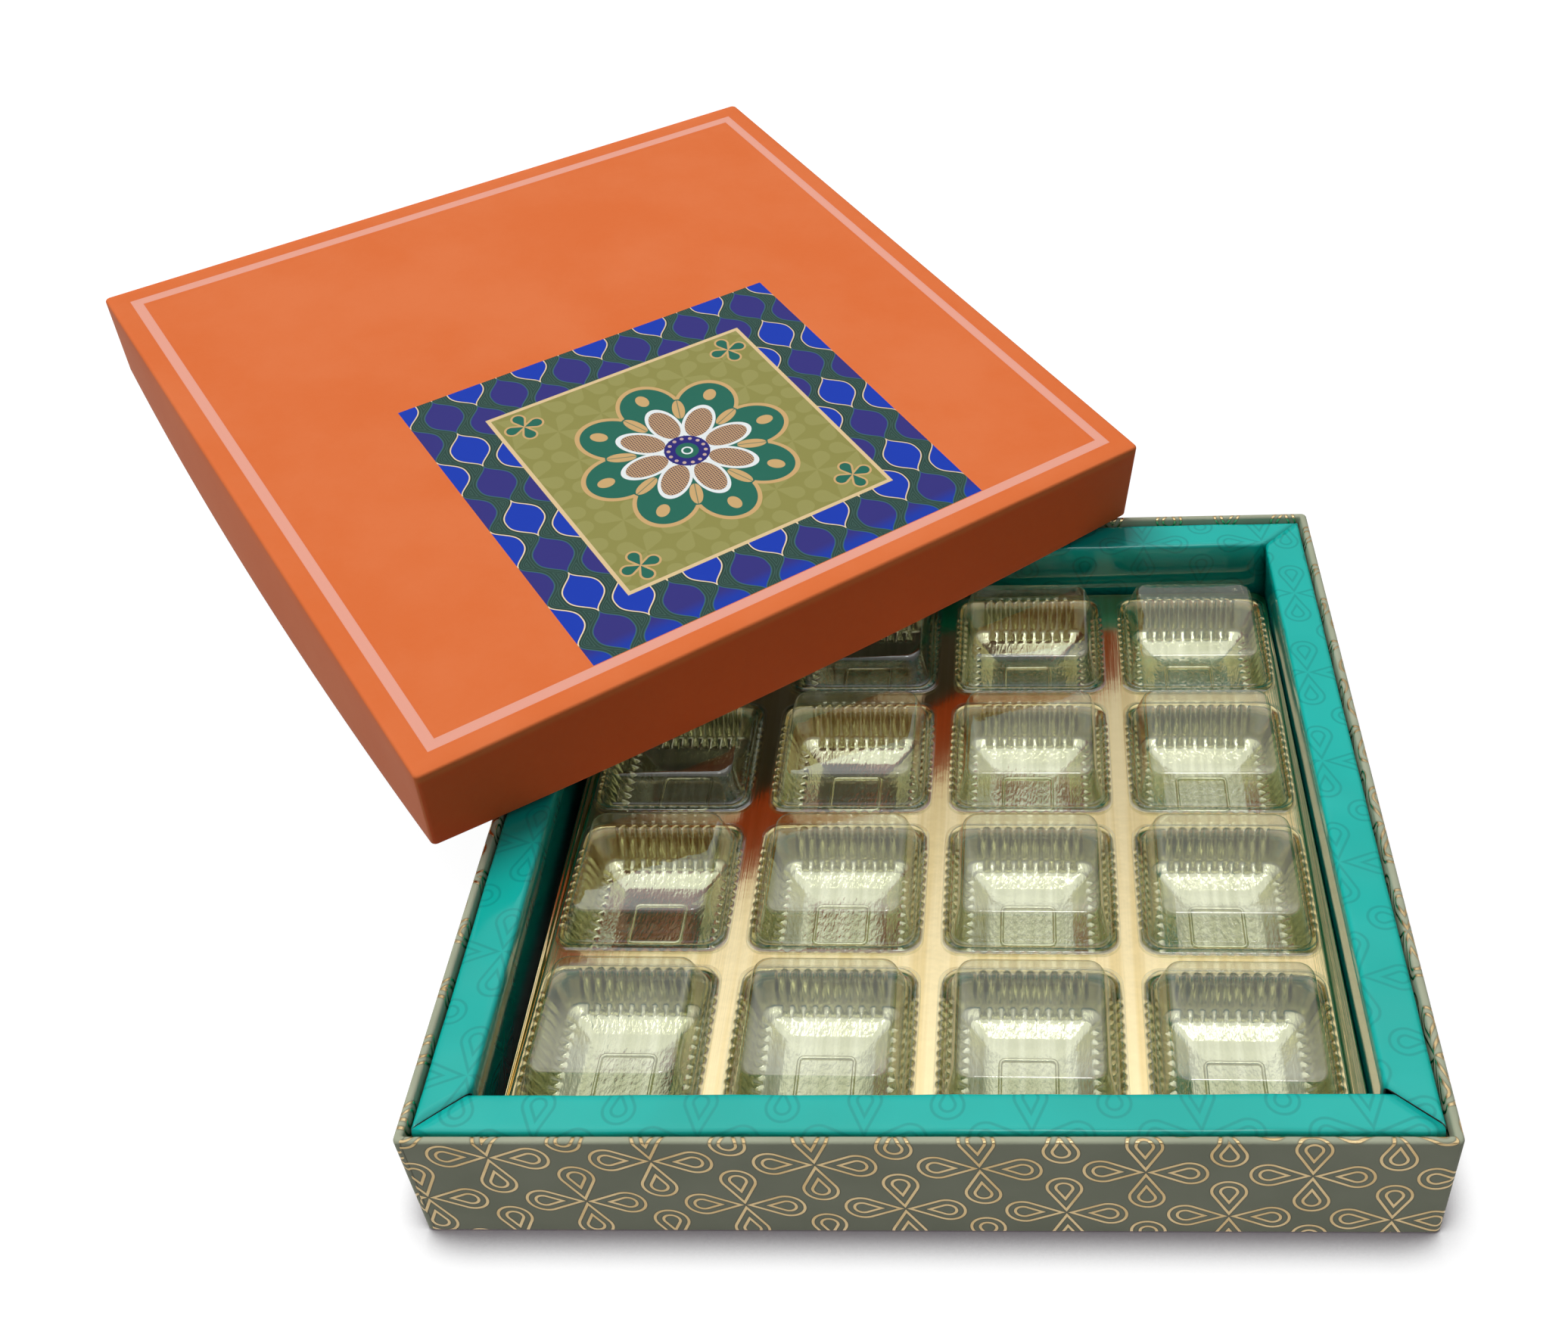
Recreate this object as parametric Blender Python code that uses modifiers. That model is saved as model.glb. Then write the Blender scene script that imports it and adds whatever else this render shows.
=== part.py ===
# Rigid gift box for sixteen chocolates: base, platform frame, formed tray, clear caps and lid.
# Metres, +Z up. The base stands on Z = 0, centred on the origin, with its front towards -Y.
# The lid is off: it leans across the back left corner of the base, with its far side raised.

from math import asin, atan2, cos, pi, radians, sin, tan

import bmesh
import bpy
from mathutils import Matrix, Vector
from mathutils.geometry import delaunay_2d_cdt

MM = 0.001

# Paper, board and card
paper = 0.20 * MM
glue_line = 0.10 * MM
greyboard = 1.20 * MM
turn_in = 15.0 * MM
touch_gap = 0.30 * MM
rim_radius = 0.70 * MM
board_edge = 0.40 * MM
fold_radius = 0.30 * MM
wrap_corner = 1.40 * MM
inside_corner = 0.30 * MM

# Base
base_outer = 204.0 * MM
base_height = 30.5 * MM

# Lid
lid_play = 0.30 * MM
lid_height = 24.8 * MM
lid_bow = 2.6 * MM
lid_side_steps = 6
lid_yaw = radians(37.28)
lid_tilt = radians(9.26)
lid_past_left = 11.4 * MM
lid_past_back = 0.5 * MM

# Platform frame, a channel of folded card, open below
card = 0.50 * MM
frame_below_rim = 1.2 * MM
frame_side_play = 0.5 * MM
frame_front_play = 1.5 * MM
shelf_width = 10.2 * MM
inner_wall_lean = 2.0 * MM
card_fold = 0.9 * MM
mitre_slit = 0.35 * MM
mitre_depth = 1.6 * MM
mitre_mouth_right = 1.3 * MM
mitre_mouth_left = 0.45 * MM
mitre_neck = 0.4
mitre_slope = 0.87
lock_slot = 0.6 * MM
lock_slot_height = 4.0 * MM
lock_slot_rise = 1.5 * MM
lock_slot_place = -3.0 * MM

# Formed tray
cells = 4
tray_sheet = 0.40 * MM
deck_margin = 1.7 * MM
cavity_land = 6.2 * MM
cavity_depth = 12.1 * MM
opening_corner = 5.0 * MM
foot_corner = 4.0 * MM
wall_draft = radians(21.5)
flutes = 10
flute_margin = 0.95 * MM
flute_depth = 0.40 * MM
floor_inset = 2.0 * MM
floor_rise = 0.7 * MM
pad_width = 13.0 * MM
pad_length = 12.2 * MM
pad_height = 0.40 * MM
pad_taper = 0.93
pad_left = 0.5 * MM
pad_forward = 1.3 * MM
tray_window_play = 1.9 * MM
tray_corner = 5.0 * MM
tray_shift = 1.1 * MM
tray_corner_gap = 0.50 * MM
border_drop = 2.0 * MM
border_lip = 0.8 * MM

# Clear caps
cap_rise = 9.1 * MM
cap_sheet = 0.30 * MM
cap_flange_cover = 1.25 * MM
cap_foot_inset = 1.25 * MM
cap_top_inset = 3.65 * MM
cap_corner = 4.0 * MM
cap_edge = 0.6 * MM
cap_skirt_drop = 1.7 * MM
cap_skirt_inset = 1.45 * MM
cap_skirt_taper = 0.3 * MM

# Shared values that follow from the sizes above
wall = paper + glue_line + greyboard + glue_line + paper
base_half = base_outer / 2
inner_half = base_half - wall
floor_top = paper + glue_line + greyboard
lid_outer = base_outer + 2 * (lid_play + wall)
shelf_top = base_height - frame_below_rim
window_half = inner_half - frame_side_play - shelf_width
foot_level = floor_top + touch_gap
floor_level = foot_level + tray_sheet
deck_top = floor_level + cavity_depth
lip_level = deck_top - border_drop
frame_wall_tilt = inner_wall_lean / (shelf_top - foot_level)
tray_half = window_half - tray_window_play
tray_slack = window_half + frame_wall_tilt * (shelf_top - lip_level) - tray_half
tray_skew = -asin((tray_slack - tray_shift - tray_corner_gap) / (tray_half - tray_corner))
cavity_row = 2 * (tray_half - border_lip - deck_margin)
opening_half = (cavity_row - (cells - 1) * cavity_land) / (2 * cells)
cell_pitch = 2 * opening_half + cavity_land
flute_pitch = 2 * (opening_half - opening_corner - flute_margin) / flutes
cap_flange_half = opening_half + cap_flange_cover
cap_foot_half = opening_half - cap_foot_inset
cap_top_half = opening_half - cap_top_inset
cap_skirt_half = opening_half - cap_skirt_inset


def empty_scene():
    for item in list(bpy.data.objects):
        bpy.data.objects.remove(item, do_unlink=True)


def new_collection(name):
    collection = bpy.data.collections.new(name)
    bpy.context.scene.collection.children.link(collection)
    return collection


def new_material(name, colour, roughness, metallic=0.0, transmission=0.0):
    material = bpy.data.materials.new(name)
    material.use_nodes = True
    shader = material.node_tree.nodes["Principled BSDF"]
    shader.inputs["Base Color"].default_value = (*colour, 1.0)
    shader.inputs["Roughness"].default_value = roughness
    shader.inputs["Metallic"].default_value = metallic
    shader.inputs["Transmission Weight"].default_value = transmission
    return material


def place(name, mesh, collection, parent=None, location=(0, 0, 0), rotation=(0, 0, 0)):
    part = bpy.data.objects.new(name, mesh)
    collection.objects.link(part)
    part.parent = parent
    part.location = location
    part.rotation_euler = rotation
    return part


def finish_mesh(name, bm, material=None, smooth=None):
    """Turn the bmesh into a mesh; smooth is the angle above which an edge stays sharp."""
    mesh = bpy.data.meshes.new(name)
    bm.to_mesh(mesh)
    bm.free()
    if material:
        mesh.materials.append(material)
    if smooth is not None:
        mesh.shade_smooth()
        mesh.set_sharp_from_angle(angle=smooth)
    return mesh


def solidify(part, thickness):
    """Thicken an open surface towards its back."""
    modifier = part.modifiers.new("sheet", "SOLIDIFY")
    modifier.thickness = thickness
    modifier.offset = -1.0
    modifier.use_even_offset = True
    modifier.use_quality_normals = True
    return modifier


def bevel(part, width, segments):
    modifier = part.modifiers.new("soft edges", "BEVEL")
    modifier.width = width
    modifier.segments = segments
    modifier.limit_method = "ANGLE"
    modifier.angle_limit = radians(60)
    return modifier


def cut(part, cutter):
    modifier = part.modifiers.new(cutter.name, "BOOLEAN")
    modifier.operation = "DIFFERENCE"
    modifier.solver = "EXACT"
    modifier.object = cutter
    return modifier


def rounded_square(half, corner, height, side_steps=1, corner_steps=2, bow=0.0):
    """Points of a rounded square, counter-clockwise; its sides swell outwards by bow at mid-side."""
    points = []
    straight = half - corner
    for quarter in range(4):
        turn = Matrix.Rotation(quarter * pi / 2, 3, "Z")
        for step in range(1, side_steps + 1):
            along = 2 * step / side_steps - 1
            swell = bow * (1 - along * along)
            points.append(turn @ Vector((half + swell, straight * along, height)))
        for step in range(1, corner_steps + 1):
            angle = pi / 2 * step / corner_steps
            points.append(turn @ Vector((straight + corner * cos(angle), straight + corner * sin(angle), height)))
    return points


def rectangle(side, front, back, height):
    """Corners of a rectangle about the origin, counter-clockwise."""
    return [
        Vector((side, -front, height)),
        Vector((side, back, height)),
        Vector((-side, back, height)),
        Vector((-side, -front, height)),
    ]


def quarter_arc(centre, middle, radius, start, steps=2):
    """Offsets and heights of a quarter turn, anticlockwise from the start angle."""
    turns = [start + pi / 2 * step / steps for step in range(steps + 1)]
    return [(centre + radius * cos(turn), middle + radius * sin(turn)) for turn in turns]


def add_ring(bm, points):
    return [bm.verts.new(point) for point in points]


def skin_between(bm, first, second):
    """Join two rings of equal count. Every diagonal rises the same way, so parallel skins stay parallel."""
    count = len(first)
    rising = second[0].co.z >= first[0].co.z
    for index in range(count):
        a = first[index]
        b = first[(index + 1) % count]
        c = second[(index + 1) % count]
        d = second[index]
        if rising:
            bm.faces.new((a, b, c))
            bm.faces.new((a, c, d))
        else:
            bm.faces.new((a, b, d))
            bm.faces.new((b, c, d))


def loft(sections, start_cap=False, end_cap=False):
    """A skin through sections of equal count; with its normals outwards, the sections run up the outside."""
    bm = bmesh.new()
    rings = [add_ring(bm, section) for section in sections]
    for first, second in zip(rings, rings[1:]):
        skin_between(bm, first, second)
    if start_cap:
        bm.faces.new(list(reversed(rings[0])))
    if end_cap:
        bm.faces.new(rings[-1])
    return bm


def fill_flat(bm, outer, holes, upwards):
    """Fill the flat area inside the outer ring, around the holes, with well-shaped triangles."""
    rings = [outer, *holes]
    verts = [vert for ring in rings for vert in ring]
    loops = []
    start = 0
    for ring in rings:
        loops.append(list(range(start, start + len(ring))))
        start += len(ring)
    made = delaunay_2d_cdt([vert.co.xy for vert in verts], [], loops, 1, 0.0)
    for triangle, within in zip(made[2], made[5]):
        if within == [0]:
            corners = [verts[index] for index in triangle]
            bm.faces.new(corners if upwards else corners[::-1])


def zip_rings(bm, outer, inner, centre):
    """Join two rings of unlike counts around the same centre, the outer one being the higher."""
    def bearing(vert):
        return atan2(vert.co.y - centre.y, vert.co.x - centre.x) % (2 * pi)

    outer = sorted(outer, key=bearing)
    inner = sorted(inner, key=bearing)
    i = 0
    j = 0
    while i < len(outer) or j < len(inner):
        a = outer[i % len(outer)]
        b = inner[j % len(inner)]
        next_a = outer[(i + 1) % len(outer)]
        next_b = inner[(j + 1) % len(inner)]
        bearing_a = bearing(next_a) + (2 * pi if i + 1 >= len(outer) else 0)
        bearing_b = bearing(next_b) + (2 * pi if j + 1 >= len(inner) else 0)
        if j >= len(inner) or (i < len(outer) and bearing_a <= bearing_b):
            bm.faces.new((a, next_a, b))
            i += 1
        else:
            bm.faces.new((a, next_b, b))
            j += 1


def shell_corner(half, outer_half):
    """Corner radius of a section of a wrapped wall: crisp inside, softer outside."""
    depth = (outer_half - half) / wall
    return wrap_corner + (inside_corner - wrap_corner) * depth


def shell_section(half, outer_half, height, total_height, bow, side_steps):
    swell = bow * height / total_height
    return rounded_square(half, shell_corner(half, outer_half), height, side_steps, bow=swell)


def make_shell(name, outer_half, height, bow, side_steps, materials, collection, parent):
    """A greyboard tray, floor down, and the paper glued round it and down inside its rim."""
    board_half = outer_half - paper - glue_line
    board_top = height - paper - glue_line - greyboard * bow / height
    paper_end = height - turn_in

    def section(half, level):
        return shell_section(half, outer_half, level, height, bow, side_steps)

    board_levels = [paper + glue_line, paper_end, board_top]
    board_mesh = finish_mesh(
        name + "_board",
        loft([section(board_half, level) for level in board_levels], start_cap=True),
        materials["board"],
    )
    board = place(name + "_board", board_mesh, collection, parent)
    solidify(board, greyboard)
    bevel(board, board_edge, 1)

    inner = outer_half - wall
    rim_middle = height - rim_radius
    outer_rim = quarter_arc(outer_half - rim_radius, rim_middle, rim_radius, 0)
    inner_rim = quarter_arc(inner + rim_radius, rim_middle, rim_radius, pi / 2)
    profile = [(outer_half - fold_radius, 0.0), (outer_half, fold_radius), (outer_half, paper_end)]
    profile += outer_rim + inner_rim + [(inner, paper_end)]
    wrap_bm = loft([section(half, level) for half, level in profile], start_cap=True)
    wrap = place(name + "_wrap", finish_mesh(name + "_wrap", wrap_bm, materials["wrap"]), collection, parent)
    solidify(wrap, paper)
    return board, wrap


def mitre_cutter(name, side, mouth, collection):
    """The slit where two shelf strips meet, from the window's front corner to the outer fold."""
    edge_start = Vector((window_half, -window_half + mouth))
    reach = shelf_width + card
    edge_end = edge_start + Vector((reach, -mitre_slope * reach))
    run = (edge_end - edge_start).normalized()
    across = Vector((run.y, -run.x)) * mitre_slit
    neck = edge_start.lerp(edge_end, mitre_neck)
    outline = [
        edge_start - Vector((card + card_fold, 0)),
        edge_start,
        edge_end,
        edge_end + across,
        neck + across,
        Vector((window_half + mouth, -window_half)),
        Vector((window_half - card - card_fold, -window_half)),
    ]
    bm = bmesh.new()
    corners = [bm.verts.new((side * point.x, point.y, shelf_top - mitre_depth)) for point in outline]
    face = bm.faces.new(corners)
    face.normal_update()
    if face.normal.z > 0:
        face.normal_flip()
    rise = bmesh.ops.extrude_face_region(bm, geom=[face])
    raised = [item for item in rise["geom"] if isinstance(item, bmesh.types.BMVert)]
    bmesh.ops.translate(bm, verts=raised, vec=(0, 0, 2 * mitre_depth))
    bmesh.ops.recalc_face_normals(bm, faces=bm.faces)
    return guide(place(name, finish_mesh(name, bm), collection))


def guide(cutter):
    cutter.hide_render = True
    cutter.display_type = "WIRE"
    return cutter


def lock_slot_cutter(name, side, collection):
    """A die-cut slot through the inner wall, upright, just above the tray."""
    bm = bmesh.new()
    bmesh.ops.create_cube(bm, size=1.0)
    reach = 2 * (inner_wall_lean + card)
    bmesh.ops.scale(bm, vec=(reach, lock_slot, lock_slot_height), verts=bm.verts)
    middle = deck_top + lock_slot_rise + lock_slot_height / 2
    wall_place = window_half + frame_wall_tilt * (shelf_top - middle)
    return guide(place(name, finish_mesh(name, bm), collection, location=(side * wall_place, lock_slot_place, middle)))


def make_frame(material, collection, cutters):
    """Outer wall, shelf and leaning inner wall, folded from one card and thickened inwards."""
    outer = inner_half - frame_side_play
    front = frame_front_play - frame_side_play
    profile = [(outer, foot_level)]
    profile += quarter_arc(outer - card_fold, shelf_top - card_fold, card_fold, 0)
    profile += quarter_arc(window_half + card_fold, shelf_top - card_fold, card_fold, pi / 2)
    profile += [(window_half + inner_wall_lean, foot_level)]
    sections = []
    for index, (half, level) in enumerate(profile):
        front_half = half - front if half > outer - shelf_width / 2 else half
        sections.append(rectangle(half, front_half, half, level))
    frame = place("platform_frame", finish_mesh("platform_frame", loft(sections), material), collection)
    solidify(frame, card)
    cut(frame, mitre_cutter("mitre_right", 1, mitre_mouth_right, cutters))
    cut(frame, mitre_cutter("mitre_left", -1, mitre_mouth_left, cutters))
    cut(frame, lock_slot_cutter("lock_slot_right", 1, cutters))
    cut(frame, lock_slot_cutter("lock_slot_left", -1, cutters))
    return frame


def fluted_square(half, corner, height, depth, pitch):
    """A rounded square whose sides carry a row of flutes; a ridge and a valley make one flute."""
    points = []
    straight = half - corner
    for quarter in range(4):
        turn = Matrix.Rotation(quarter * pi / 2, 3, "Z")
        for step in range(2 * flutes):
            along = (step - flutes + 0.5) * pitch / 2
            swell = depth / 2 if step % 2 else -depth / 2
            points.append(turn @ Vector((half + swell, along, height)))
        for angle in (0.0, pi / 4, pi / 2):
            points.append(turn @ Vector((straight + corner * cos(angle), straight + corner * sin(angle), height)))
    return points


def add_cavity(bm, centre):
    """One fluted cavity; returns its rim in the deck's top and its rim in the deck's underside."""
    taper = tan(wall_draft)
    foot_half = opening_half - (cavity_depth - floor_rise) * taper
    floor_half = foot_half - floor_inset
    flute_foot = flute_pitch * foot_half / opening_half

    def ring(points):
        return add_ring(bm, [point + centre for point in points])

    rim = ring(fluted_square(opening_half, opening_corner, deck_top, flute_depth, flute_pitch))
    foot = ring(fluted_square(foot_half, foot_corner, floor_level + floor_rise, flute_depth, flute_foot))
    floor = ring(rounded_square(floor_half, foot_corner - floor_inset / 2, floor_level))
    skin_between(bm, foot, rim)
    for face in {f for vert in foot for f in vert.link_faces}:
        face.normal_flip()
    zip_rings(bm, foot, floor, centre)

    pad = [Vector((x * pad_width / 2, y * pad_length / 2, 0)) for x, y in ((1, -1), (1, 1), (-1, 1), (-1, -1))]
    middle = Vector((-pad_left, -pad_forward, 0))
    pad_foot = ring([point + middle + Vector((0, 0, floor_level)) for point in pad])
    pad_top = ring([point * pad_taper + middle + Vector((0, 0, floor_level + pad_height)) for point in pad])
    fill_flat(bm, floor, [pad_foot], True)
    skin_between(bm, pad_foot, pad_top)
    bm.faces.new(pad_top)

    back = flute_depth / 2 + tray_sheet / cos(wall_draft)
    under_rim_half = opening_half - tray_sheet * taper + back
    under_foot_half = under_rim_half - (deck_top - tray_sheet - foot_level - tray_sheet) * taper
    under_corner = opening_corner + back
    under_rim = ring(rounded_square(under_rim_half, under_corner, deck_top - tray_sheet, 2))
    under_foot = ring(rounded_square(under_foot_half, under_corner, foot_level + tray_sheet, 2))
    under_floor = ring(rounded_square(under_foot_half - tray_sheet, under_corner - tray_sheet, foot_level, 2))
    skin_between(bm, under_foot, under_rim)
    skin_between(bm, under_floor, under_foot)
    bm.faces.new(list(reversed(under_floor)))
    return rim, under_rim


def cell_centres():
    first = -(cells - 1) / 2 * cell_pitch
    for row in range(cells):
        for column in range(cells):
            yield row, column, Vector((first + column * cell_pitch, first + row * cell_pitch, 0))


def make_tray(material, collection):
    """A deck with a stepped border and sixteen fluted cavities, all one formed sheet."""
    bm = bmesh.new()
    rims = []
    under_rims = []
    for row, column, centre in cell_centres():
        rim, under_rim = add_cavity(bm, centre)
        rims.append(rim)
        under_rims.append(under_rim)
    fold_half = tray_half - border_lip
    back = tray_sheet
    border = [
        (fold_half - back, deck_top - tray_sheet),
        (fold_half - back, lip_level - tray_sheet),
        (tray_half, lip_level - tray_sheet),
        (tray_half, lip_level),
        (fold_half, lip_level),
        (fold_half, deck_top),
    ]
    corners = [tray_corner - tray_half + half for half, level in border]
    rings = [
        add_ring(bm, rounded_square(half, corner, level, 1, 3))
        for (half, level), corner in zip(border, corners)
    ]
    for first, second in zip(rings, rings[1:]):
        skin_between(bm, first, second)
    fill_flat(bm, rings[-1], rims, True)
    fill_flat(bm, rings[0], under_rims, False)
    mesh = finish_mesh("tray", bm, material, radians(40))
    return place("tray", mesh, collection, location=(tray_shift, 0, 0), rotation=(0, 0, tray_skew))


def make_cap_mesh(material):
    """A clear cap: flat top, flared walls, a flange over the deck and a short skirt in the cavity."""
    flange_under = deck_top + touch_gap
    flange_over = flange_under + cap_sheet
    top = deck_top + cap_rise
    skirt_end = deck_top - cap_skirt_drop
    profile = [
        (cap_skirt_half - cap_sheet - cap_skirt_taper, skirt_end),
        (cap_skirt_half - cap_skirt_taper, skirt_end),
        (cap_skirt_half, flange_under),
        (cap_flange_half, flange_under),
        (cap_flange_half, flange_over),
        (cap_foot_half, flange_over),
        (cap_top_half, top - cap_edge),
        (cap_top_half - cap_edge, top),
    ]
    inside = [
        (cap_skirt_half - cap_sheet, flange_over),
        (cap_top_half - cap_sheet, top - cap_edge),
        (cap_top_half - cap_edge - cap_sheet / 2, top - cap_sheet),
    ]
    bm = bmesh.new()

    def ring(half, level):
        corner = cap_corner + (half - cap_top_half) * 0.5
        return add_ring(bm, rounded_square(half, corner, level))

    outer_rings = [ring(half, level) for half, level in profile]
    inner_rings = [ring(half, level) for half, level in inside]
    for first, second in zip(outer_rings, outer_rings[1:]):
        skin_between(bm, first, second)
    bm.faces.new(outer_rings[-1])
    inner_rings = list(reversed(inner_rings)) + [outer_rings[0]]
    for first, second in zip(inner_rings, inner_rings[1:]):
        skin_between(bm, first, second)
    bm.faces.new(list(reversed(inner_rings[0])))
    return finish_mesh("cap", bm, material, radians(40))


def make_caps(material, tray, collection):
    mesh = make_cap_mesh(material)
    for row, column, centre in cell_centres():
        place(f"cap_{row + 1}_{column + 1}", mesh, collection, tray, centre)


def lid_pivot(collection):
    """The lid's own axes: its front lower left corner, X along its front, Z out of its top."""
    lid_half = lid_outer / 2
    corner = Vector((
        -base_half - lid_past_left,
        base_half + lid_past_back - lid_outer * sin(lid_yaw),
        base_height + touch_gap,
    ))
    axes = Matrix.Rotation(lid_yaw, 4, "Z") @ Matrix.Rotation(lid_tilt, 4, "X")
    middle = axes @ Vector((lid_half, lid_half, lid_height))
    pivot = place("lid_pivot", None, collection)
    upside_down = Matrix.Rotation(pi, 4, "X")
    pivot.matrix_world = Matrix.Translation(corner + middle) @ axes @ upside_down
    return pivot


def main():
    empty_scene()
    parts = new_collection("chocolate_box")
    cutters = new_collection("cutters")
    greyboard_look = new_material("greyboard", (0.42, 0.41, 0.38), 0.9)
    sage = new_material("sage wrap", (0.27, 0.29, 0.22), 0.6)
    orange = new_material("orange wrap", (0.82, 0.24, 0.08), 0.65)
    teal = new_material("teal card", (0.03, 0.42, 0.37), 0.25)
    gold = new_material("gold sheet", (0.80, 0.58, 0.27), 0.25, metallic=1.0)
    clear = new_material("clear plastic", (0.97, 0.98, 0.96), 0.06, transmission=1.0)

    make_shell("base", base_half, base_height, 0.0, 1, {"board": greyboard_look, "wrap": sage}, parts, None)
    make_frame(teal, parts, cutters)
    tray = make_tray(gold, parts)
    make_caps(clear, tray, parts)
    lid_looks = {"board": greyboard_look, "wrap": orange}
    make_shell("lid", lid_outer / 2, lid_height, lid_bow, lid_side_steps, lid_looks, parts, lid_pivot(parts))


main()
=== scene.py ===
# Looks of the chocolate box: printed wraps, glossy card, formed gold sheet and clear caps.
# Shapes and prints are in millimetres. Materials, the floor and the camera's range are in metres.
from math import cos, hypot, pi, radians, sin, tan

import bpy
import numpy as np
from mathutils import Matrix, Vector
from mathutils.geometry import delaunay_2d_cdt

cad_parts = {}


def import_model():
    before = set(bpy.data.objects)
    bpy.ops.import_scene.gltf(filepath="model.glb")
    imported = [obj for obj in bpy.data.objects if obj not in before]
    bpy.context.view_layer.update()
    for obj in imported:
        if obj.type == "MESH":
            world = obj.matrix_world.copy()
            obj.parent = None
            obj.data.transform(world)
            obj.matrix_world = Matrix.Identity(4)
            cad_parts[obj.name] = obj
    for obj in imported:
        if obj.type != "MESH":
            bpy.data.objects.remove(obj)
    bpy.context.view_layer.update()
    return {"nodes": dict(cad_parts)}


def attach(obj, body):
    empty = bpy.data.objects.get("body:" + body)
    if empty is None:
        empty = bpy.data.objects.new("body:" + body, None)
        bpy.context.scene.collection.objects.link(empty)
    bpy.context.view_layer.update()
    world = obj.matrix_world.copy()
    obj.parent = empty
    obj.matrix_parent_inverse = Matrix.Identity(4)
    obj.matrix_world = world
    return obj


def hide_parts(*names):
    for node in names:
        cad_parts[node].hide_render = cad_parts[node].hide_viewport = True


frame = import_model()

MM = 0.001

# Sizes shared with the solids
BASE_HALF = 102.0
BASE_HEIGHT = 30.5
WALL = 1.8
TURN_IN = 15.0
PAPER = 0.2
LID_HALF = 104.1
LID_HEIGHT = 24.8
LID_BOW = 2.6
LID_CORNER = (-113.4, -23.61, 30.8)
LID_YAW = radians(37.28)
LID_TILT = radians(9.26)
CARD = 0.5
SHELF_TOP = 29.3
WINDOW_HALF = 89.5
FRAME_HALF = 99.7
FRAME_FRONT = 98.7
FOOT_LEVEL = 1.8
INNER_LEAN = 2.0
CELL_PITCH = 44.1
OPENING_HALF = 18.95
DECK_TOP = 14.3
FLOOR_LEVEL = 2.2
SHEET = 0.4
LIP_LEVEL = 12.3
DECK_HALF = 86.8
TRAY_SHIFT = 1.1
TRAY_SKEW = radians(-1.0658)
FLUTE_PITCH = 2.6
FLUTES = 10


# Meshes

class Skin:
    """Points and faces of one piece; flat holds the place of each face corner on the print."""

    def __init__(self):
        self.points = []
        self.faces = []
        self.flat = []
        self.looks = []
        self.sharp = []

    def add(self, points):
        start = len(self.points)
        self.points.extend(np.asarray(points, float).reshape(-1, 3).tolist())
        return list(range(start, len(self.points)))

    def face(self, corners, flat=None, look=0):
        self.faces.append(tuple(corners))
        self.flat.extend(flat if flat is not None else [(0.0, 0.0)] * len(corners))
        self.looks.append(look)

    def join(self, rows, flat=None, closed=False):
        """Quads between rows of point numbers; a closed row's last point joins its first."""
        columns = len(rows[0])
        for r in range(len(rows) - 1):
            for c in range(columns if closed else columns - 1):
                d = (c + 1) % columns
                places = None
                if flat is not None:
                    near, far = flat[r], flat[r + 1]
                    places = [near[c], near[c + 1], far[c + 1], far[c]]
                self.face([rows[r][c], rows[r][d], rows[r + 1][d], rows[r + 1][c]], places)

    def sheet(self, points, flat=None, closed=False):
        """Quads over rows of places; returns the rows of their point numbers."""
        points = np.asarray(points, float)
        numbers = self.add(points)
        columns = points.shape[1]
        rows = [numbers[i:i + columns] for i in range(0, len(numbers), columns)]
        self.join(rows, flat, closed)
        return rows

    def fan(self, ring, middle, places=None, middle_place=(0.0, 0.0), look=0):
        """Triangles from a ring to its middle, facing down; places is the ring's print."""
        centre = self.add([middle])[0]
        for i, number in enumerate(ring):
            j = (i + 1) % len(ring)
            flat = [places[j], places[i], middle_place] if places else None
            self.face([ring[j], number, centre], flat, look)

    def crease(self, ring):
        self.sharp.extend(zip(ring, ring[1:] + ring[:1]))

    def mesh(self, name, materials, smooth):
        """The finished mesh, with sharp edges where it folds by more than smooth degrees."""
        mesh = bpy.data.meshes.new(name)
        mesh.from_pydata([(x * MM, y * MM, z * MM) for x, y, z in self.points], [], self.faces)
        layer = mesh.uv_layers.new(name="print")
        layer.data.foreach_set("uv", np.array(self.flat, float).reshape(-1))
        mesh.polygons.foreach_set("material_index", self.looks)
        for material in materials:
            mesh.materials.append(material)
        mesh.shade_smooth()
        mesh.set_sharp_from_angle(angle=radians(smooth))
        if self.sharp:
            marked = {tuple(sorted(pair)) for pair in self.sharp}
            sharp = mesh.attributes.get("sharp_edge")
            if sharp is None:
                sharp = mesh.attributes.new("sharp_edge", "BOOLEAN", "EDGE")
            for edge in mesh.edges:
                if tuple(sorted(edge.vertices)) in marked:
                    sharp.data[edge.index].value = True
        mesh.validate()
        return mesh


def show(name, mesh, body, replaced, matrix=None):
    piece = bpy.data.objects.new(name, mesh)
    bpy.context.scene.collection.objects.link(piece)
    if matrix is not None:
        piece.matrix_world = matrix
    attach(piece, body)
    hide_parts(*replaced)
    return piece


def thicken(piece, depth):
    modifier = piece.modifiers.new("thickness", "SOLIDIFY")
    modifier.thickness = depth * MM
    modifier.offset = -1.0
    modifier.use_even_offset = True
    return modifier


def spin(turn):
    return np.array([[cos(turn), -sin(turn)], [sin(turn), cos(turn)]])


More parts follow.
